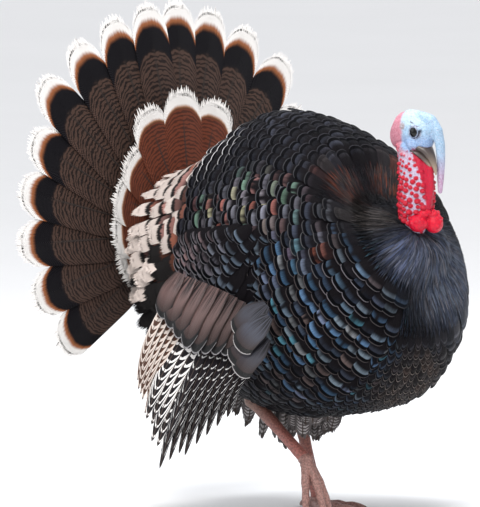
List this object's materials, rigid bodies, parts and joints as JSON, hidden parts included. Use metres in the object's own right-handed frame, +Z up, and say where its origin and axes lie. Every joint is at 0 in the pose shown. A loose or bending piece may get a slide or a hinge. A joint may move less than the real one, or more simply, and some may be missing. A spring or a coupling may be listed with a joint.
{
  "type": "turkey decoy",
  "caption": "Life-size standing gobbler decoy in full strut, with a folding and tilting tail fan, a turning head and swinging wings.",
  "frame": {"origin": "on the ground, under the middle of the decoy's box", "axes": "+X the way the bird faces, +Y its left, +Z up"},
  "size_m": [0.7151, 0.7976, 0.8958],
  "materials": {
    "plumage": "satin",
    "ruff": "satin",
    "breast": "satin",
    "rump": "matte",
    "belly": "matte",
    "wing": "satin",
    "flight": "matte",
    "tail": "matte",
    "covert": "matte",
    "shell": "matte",
    "wood": "matte",
    "steel": "satin",
    "nylon": "satin",
    "skin_red": "satin",
    "skin_pale": "satin",
    "beak": "satin",
    "eye": "gloss",
    "leg": "matte"
  },
  "bodies": {
    "body": {"body_shell_left": "shell", "body_shell_right": "shell", "neck_ruff": "ruff", "breast_coat": "breast", "back_coat": "plumage", "rump_coat": "rump", "flank_coat_left": "plumage", "flank_coat_right": "plumage", "belly_coat": "belly", "spine_board": "wood", "neck_socket": "nylon", "tail_bracket": "steel", "tail_hinge_pin": "steel", "leg_right": "leg", "leg_left": "leg", "foot_right": "leg", "foot_left": "leg", "wing_bracket_right": "nylon", "wing_bracket_left": "nylon", "wing_pin_right": "steel", "wing_pin_left": "steel"},
    "head": {"neck_post": "steel", "neck": "skin_red", "head_shell": "skin_pale", "upper_beak": "beak", "lower_beak": "beak", "snood": "skin_red", "caruncle_bulbs": "skin_red", "eye_right": "eye", "eye_left": "eye"},
    "tail": {"fan_plate": "nylon", "fan_bolt": "steel"},
    "wing_right": {"wing_arm_right": "wing", "wing_flight_right": "flight"},
    "wing_left": {"wing_arm_left": "wing", "wing_flight_left": "flight"},
    "feather_right_1": {"tail_feather_right_1": "tail", "tail_covert_1": "covert"},
    "feather_right_2": {"tail_feather_right_2": "tail", "tail_covert_3": "covert"},
    "feather_right_3": {"tail_feather_right_3": "tail"},
    "feather_right_4": {"tail_feather_right_4": "tail", "tail_covert_5": "covert"},
    "feather_right_5": {"tail_feather_right_5": "tail"},
    "feather_right_6": {"tail_feather_right_6": "tail"},
    "feather_right_7": {"tail_feather_right_7": "tail"},
    "feather_right_8": {"tail_feather_right_8": "tail"},
    "feather_right_9": {"tail_feather_right_9": "tail"},
    "feather_left_1": {"tail_feather_left_1": "tail"},
    "feather_left_2": {"tail_feather_left_2": "tail", "tail_covert_2": "covert"},
    "feather_left_3": {"tail_feather_left_3": "tail"},
    "feather_left_4": {"tail_feather_left_4": "tail", "tail_covert_4": "covert"},
    "feather_left_5": {"tail_feather_left_5": "tail"},
    "feather_left_6": {"tail_feather_left_6": "tail"},
    "feather_left_7": {"tail_feather_left_7": "tail"},
    "feather_left_8": {"tail_feather_left_8": "tail"},
    "feather_left_9": {"tail_feather_left_9": "tail"}
  },
  "joints": [
    {"name": "head_turn", "type": "hinge", "parent": "body", "child": "head", "pos_m": [0.277, 0, 0.476], "axis": [0, 0, 1], "range_deg": [-40, 40]},
    {"name": "tail_tilt", "type": "hinge", "parent": "body", "child": "tail", "pos_m": [-0.329, 0, 0.423], "axis": [0, -1, 0], "range_deg": [0, 25]},
    {"name": "wing_right_swing", "type": "hinge", "parent": "body", "child": "wing_right", "pos_m": [0.02184, -0.22532, 0.52955], "axis": [-0.9866, -0.0949, -0.1328], "range_deg": [0, 15]},
    {"name": "wing_left_swing", "type": "hinge", "parent": "body", "child": "wing_left", "pos_m": [0.02184, 0.22532, 0.52955], "axis": [0.9866, -0.0949, 0.1328], "range_deg": [0, 15]},
    {"name": "fan_fold_right_1", "type": "hinge", "parent": "tail", "child": "feather_right_1", "pos_m": [-0.313, 0, 0.478], "axis": [-0.9903, 0, -0.1392], "range_deg": [0, 4]},
    {"name": "fan_fold_right_2", "type": "hinge", "parent": "tail", "child": "feather_right_2", "pos_m": [-0.313, 0, 0.478], "axis": [-0.9903, 0, -0.1392], "range_deg": [0, 15.54]},
    {"name": "fan_fold_right_3", "type": "hinge", "parent": "tail", "child": "feather_right_3", "pos_m": [-0.313, 0, 0.478], "axis": [-0.9903, 0, -0.1392], "range_deg": [0, 27.56]},
    {"name": "fan_fold_right_4", "type": "hinge", "parent": "tail", "child": "feather_right_4", "pos_m": [-0.313, 0, 0.478], "axis": [-0.9903, 0, -0.1392], "range_deg": [0, 40.06]},
    {"name": "fan_fold_right_5", "type": "hinge", "parent": "tail", "child": "feather_right_5", "pos_m": [-0.313, 0, 0.478], "axis": [-0.9903, 0, -0.1392], "range_deg": [0, 53.04]},
    {"name": "fan_fold_right_6", "type": "hinge", "parent": "tail", "child": "feather_right_6", "pos_m": [-0.313, 0, 0.478], "axis": [-0.9903, 0, -0.1392], "range_deg": [0, 66.5]},
    {"name": "fan_fold_right_7", "type": "hinge", "parent": "tail", "child": "feather_right_7", "pos_m": [-0.313, 0, 0.478], "axis": [-0.9903, 0, -0.1392], "range_deg": [0, 80.44]},
    {"name": "fan_fold_right_8", "type": "hinge", "parent": "tail", "child": "feather_right_8", "pos_m": [-0.313, 0, 0.478], "axis": [-0.9903, 0, -0.1392], "range_deg": [0, 94.86]},
    {"name": "fan_fold", "type": "hinge", "parent": "tail", "child": "feather_right_9", "pos_m": [-0.313, 0, 0.478], "axis": [-0.9903, 0, -0.1392], "range_deg": [0, 109.76]},
    {"name": "fan_fold_left_1", "type": "hinge", "parent": "tail", "child": "feather_left_1", "pos_m": [-0.313, 0, 0.478], "axis": [0.9903, 0, 0.1392], "range_deg": [0, 4]},
    {"name": "fan_fold_left_2", "type": "hinge", "parent": "tail", "child": "feather_left_2", "pos_m": [-0.313, 0, 0.478], "axis": [0.9903, 0, 0.1392], "range_deg": [0, 15.54]},
    {"name": "fan_fold_left_3", "type": "hinge", "parent": "tail", "child": "feather_left_3", "pos_m": [-0.313, 0, 0.478], "axis": [0.9903, 0, 0.1392], "range_deg": [0, 27.56]},
    {"name": "fan_fold_left_4", "type": "hinge", "parent": "tail", "child": "feather_left_4", "pos_m": [-0.313, 0, 0.478], "axis": [0.9903, 0, 0.1392], "range_deg": [0, 40.06]},
    {"name": "fan_fold_left_5", "type": "hinge", "parent": "tail", "child": "feather_left_5", "pos_m": [-0.313, 0, 0.478], "axis": [0.9903, 0, 0.1392], "range_deg": [0, 53.04]},
    {"name": "fan_fold_left_6", "type": "hinge", "parent": "tail", "child": "feather_left_6", "pos_m": [-0.313, 0, 0.478], "axis": [0.9903, 0, 0.1392], "range_deg": [0, 66.5]},
    {"name": "fan_fold_left_7", "type": "hinge", "parent": "tail", "child": "feather_left_7", "pos_m": [-0.313, 0, 0.478], "axis": [0.9903, 0, 0.1392], "range_deg": [0, 80.44]},
    {"name": "fan_fold_left_8", "type": "hinge", "parent": "tail", "child": "feather_left_8", "pos_m": [-0.313, 0, 0.478], "axis": [0.9903, 0, 0.1392], "range_deg": [0, 94.86]},
    {"name": "fan_fold_left_9", "type": "hinge", "parent": "tail", "child": "feather_left_9", "pos_m": [-0.313, 0, 0.478], "axis": [0.9903, 0, 0.1392], "range_deg": [0, 109.76]}
  ],
  "couplings": [
    {"joint": "fan_fold_right_1", "follows": "fan_fold", "ratio": 0.036443},
    {"joint": "fan_fold_right_2", "follows": "fan_fold", "ratio": 0.14158},
    {"joint": "fan_fold_right_3", "follows": "fan_fold", "ratio": 0.25109},
    {"joint": "fan_fold_right_4", "follows": "fan_fold", "ratio": 0.36498},
    {"joint": "fan_fold_right_5", "follows": "fan_fold", "ratio": 0.48324},
    {"joint": "fan_fold_right_6", "follows": "fan_fold", "ratio": 0.60587},
    {"joint": "fan_fold_right_7", "follows": "fan_fold", "ratio": 0.73287},
    {"joint": "fan_fold_right_8", "follows": "fan_fold", "ratio": 0.86425},
    {"joint": "fan_fold_left_1", "follows": "fan_fold", "ratio": 0.036443},
    {"joint": "fan_fold_left_2", "follows": "fan_fold", "ratio": 0.14158},
    {"joint": "fan_fold_left_3", "follows": "fan_fold", "ratio": 0.25109},
    {"joint": "fan_fold_left_4", "follows": "fan_fold", "ratio": 0.36498},
    {"joint": "fan_fold_left_5", "follows": "fan_fold", "ratio": 0.48324},
    {"joint": "fan_fold_left_6", "follows": "fan_fold", "ratio": 0.60587},
    {"joint": "fan_fold_left_7", "follows": "fan_fold", "ratio": 0.73287},
    {"joint": "fan_fold_left_8", "follows": "fan_fold", "ratio": 0.86425},
    {"joint": "fan_fold_left_9", "follows": "fan_fold", "ratio": 1}
  ]
}
